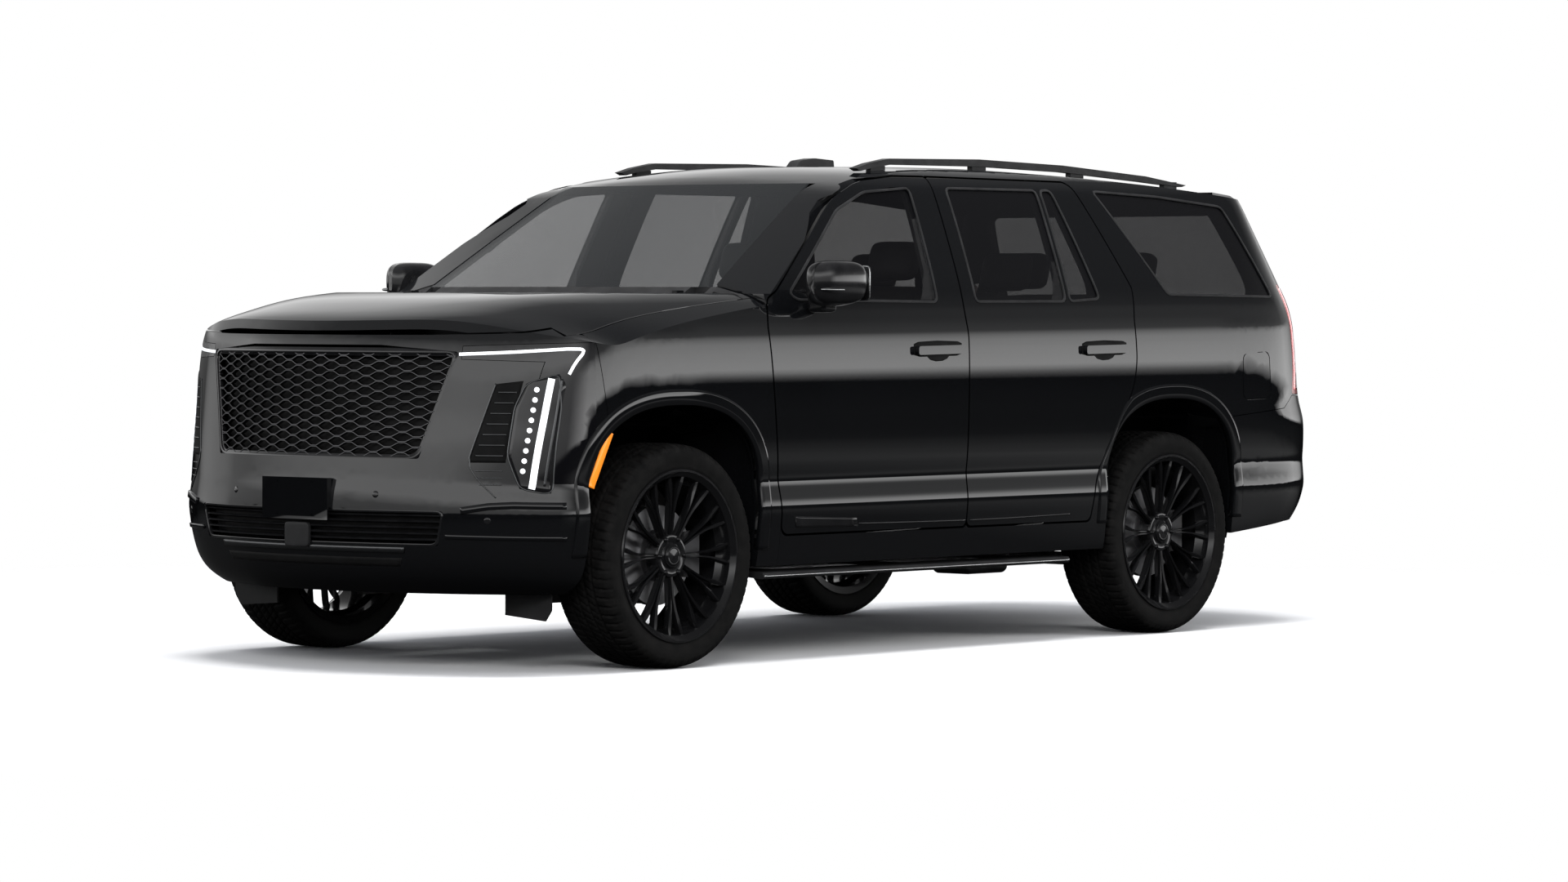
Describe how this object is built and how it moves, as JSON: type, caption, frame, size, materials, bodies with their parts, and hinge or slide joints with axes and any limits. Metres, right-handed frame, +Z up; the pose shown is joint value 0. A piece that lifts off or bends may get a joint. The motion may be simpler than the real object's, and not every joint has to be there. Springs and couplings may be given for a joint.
{
  "type": "full-size sport utility vehicle",
  "caption": "Full-size three-row SUV that rolls and steers, with opening doors, hood and tailgate, a hollow cabin with seats, and a body on a ladder frame.",
  "frame": {"origin": "on the ground under the middle of the overall length and width", "axes": "-Y forwards, +X to the vehicle's left, +Z up"},
  "size_m": [2.3924, 5.3819, 1.9593],
  "materials": {
    "black_paint": "gloss",
    "frame_paint": "satin",
    "black_trim": "gloss",
    "grey_trim": "matte",
    "clear_glass": "gloss",
    "dark_glass": "gloss",
    "lamp_lens": "gloss",
    "red_lens": "gloss",
    "upholstery": "satin",
    "tyre_rubber": "matte",
    "black_rim": "gloss",
    "cast_metal": "matte",
    "steel": "satin"
  },
  "bodies": {
    "vehicle_body": {"chassis_frame": "frame_paint", "floor_pan": "frame_paint", "firewall": "grey_trim", "roof": "black_paint", "body_sides": "black_paint", "front_fenders": "black_paint", "front_bumper": "black_paint", "grille": "black_trim", "headlamps": "lamp_lens", "windshield": "clear_glass", "quarter_glasses": "dark_glass", "tail_lamps": "red_lens", "rear_bumper": "black_paint", "roof_rails": "black_trim", "side_steps": "grey_trim", "front_seats": "upholstery", "rear_seats": "upholstery", "dashboard": "grey_trim", "steering_wheel": "grey_trim", "engine": "cast_metal", "exhaust": "steel", "rear_axle": "cast_metal"},
    "hood": {"hood": "black_paint"},
    "tailgate": {"tailgate": "black_paint", "tailgate_glass": "dark_glass"},
    "door_front_left": {"door_front_left": "black_paint", "glass_front_left": "clear_glass", "mirror_left": "black_trim"},
    "door_rear_left": {"door_rear_left": "black_paint", "glass_rear_left": "dark_glass"},
    "knuckle_left": {"knuckle_left": "cast_metal"},
    "wheel_front_left": {"tyre_front_left": "tyre_rubber", "rim_front_left": "black_rim"},
    "wheel_rear_left": {"tyre_rear_left": "tyre_rubber", "rim_rear_left": "black_rim"},
    "door_front_right": {"door_front_right": "black_paint", "glass_front_right": "clear_glass", "mirror_right": "black_trim"},
    "door_rear_right": {"door_rear_right": "black_paint", "glass_rear_right": "dark_glass"},
    "knuckle_right": {"knuckle_right": "cast_metal"},
    "wheel_front_right": {"tyre_front_right": "tyre_rubber", "rim_front_right": "black_rim"},
    "wheel_rear_right": {"tyre_rear_right": "tyre_rubber", "rim_rear_right": "black_rim"}
  },
  "joints": [
    {"name": "steer_left", "type": "hinge", "parent": "vehicle_body", "child": "knuckle_left", "pos_m": [0.81, -1.681, 0.419], "axis": [0, 0, 1], "range_deg": [-32, 32]},
    {"name": "spin_front_left", "type": "hinge", "parent": "knuckle_left", "child": "wheel_front_left", "pos_m": [0.871, -1.681, 0.419], "axis": [1, 0, 0], "continuous": true},
    {"name": "spin_rear_left", "type": "hinge", "parent": "vehicle_body", "child": "wheel_rear_left", "pos_m": [0.871, 1.39, 0.419], "axis": [1, 0, 0], "continuous": true},
    {"name": "door_front_left_hinge", "type": "hinge", "parent": "vehicle_body", "child": "door_front_left", "pos_m": [1.009, -1.087, 1], "axis": [0, 0, -1], "range_deg": [0, 67]},
    {"name": "door_rear_left_hinge", "type": "hinge", "parent": "vehicle_body", "child": "door_rear_left", "pos_m": [1.009, 0.068, 1], "axis": [0, 0, -1], "range_deg": [0, 70]},
    {"name": "steer_right", "type": "hinge", "parent": "vehicle_body", "child": "knuckle_right", "pos_m": [-0.81, -1.681, 0.419], "axis": [0, 0, 1], "range_deg": [-32, 32]},
    {"name": "spin_front_right", "type": "hinge", "parent": "knuckle_right", "child": "wheel_front_right", "pos_m": [-0.871, -1.681, 0.419], "axis": [1, 0, 0], "continuous": true},
    {"name": "spin_rear_right", "type": "hinge", "parent": "vehicle_body", "child": "wheel_rear_right", "pos_m": [-0.871, 1.39, 0.419], "axis": [1, 0, 0], "continuous": true},
    {"name": "door_front_right_hinge", "type": "hinge", "parent": "vehicle_body", "child": "door_front_right", "pos_m": [-1.009, -1.087, 1], "axis": [0, 0, 1], "range_deg": [0, 67]},
    {"name": "door_rear_right_hinge", "type": "hinge", "parent": "vehicle_body", "child": "door_rear_right", "pos_m": [-1.009, 0.068, 1], "axis": [0, 0, 1], "range_deg": [0, 70]},
    {"name": "hood_hinge", "type": "hinge", "parent": "vehicle_body", "child": "hood", "pos_m": [0, -1.225, 1.372], "axis": [-1, 0, 0], "range_deg": [0, 50]},
    {"name": "tailgate_hinge", "type": "hinge", "parent": "vehicle_body", "child": "tailgate", "pos_m": [0, 2.15, 1.848], "axis": [1, 0, 0], "range_deg": [0, 82]}
  ],
  "couplings": [
    {"joint": "steer_right", "follows": "steer_left", "ratio": 1}
  ]
}
